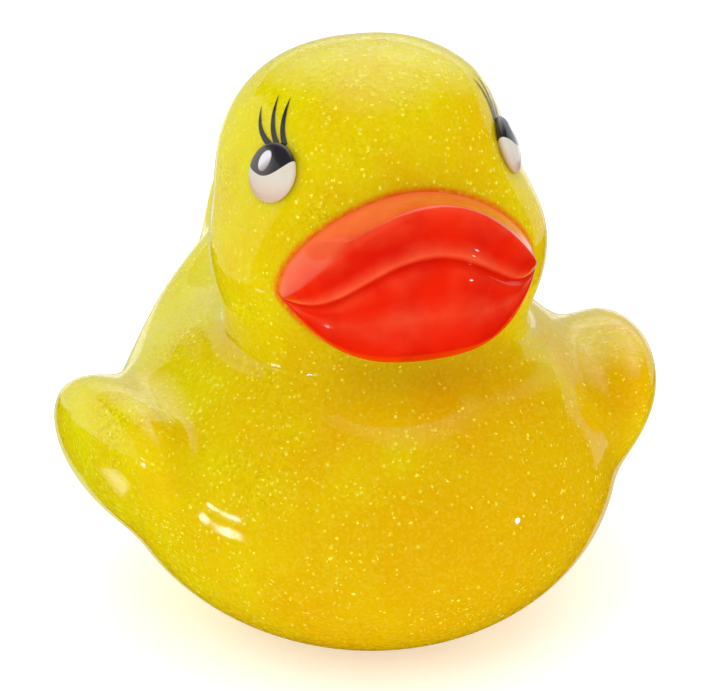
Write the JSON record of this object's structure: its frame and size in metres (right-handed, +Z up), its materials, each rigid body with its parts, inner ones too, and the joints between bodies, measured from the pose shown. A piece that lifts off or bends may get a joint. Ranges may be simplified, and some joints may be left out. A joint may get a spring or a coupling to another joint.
{
  "type": "rubber duck",
  "caption": "Small hollow bath duck in soft glitter vinyl, with a full red bill, raised eyes, lobed wings, an upswept tail and a flat base.",
  "frame": {"origin": "on the flat base, below the middle of the bounding box", "axes": "+Z up, -Y out of the bill, +X towards the duck's own left wing"},
  "size_m": [0.0794, 0.0856, 0.0783],
  "materials": {
    "vinyl": "glossy translucent yellow vinyl with fine glitter, painted red bill and painted eyes"
  },
  "bodies": {
    "root": {"duck_shell": "vinyl"}
  },
  "joints": []
}
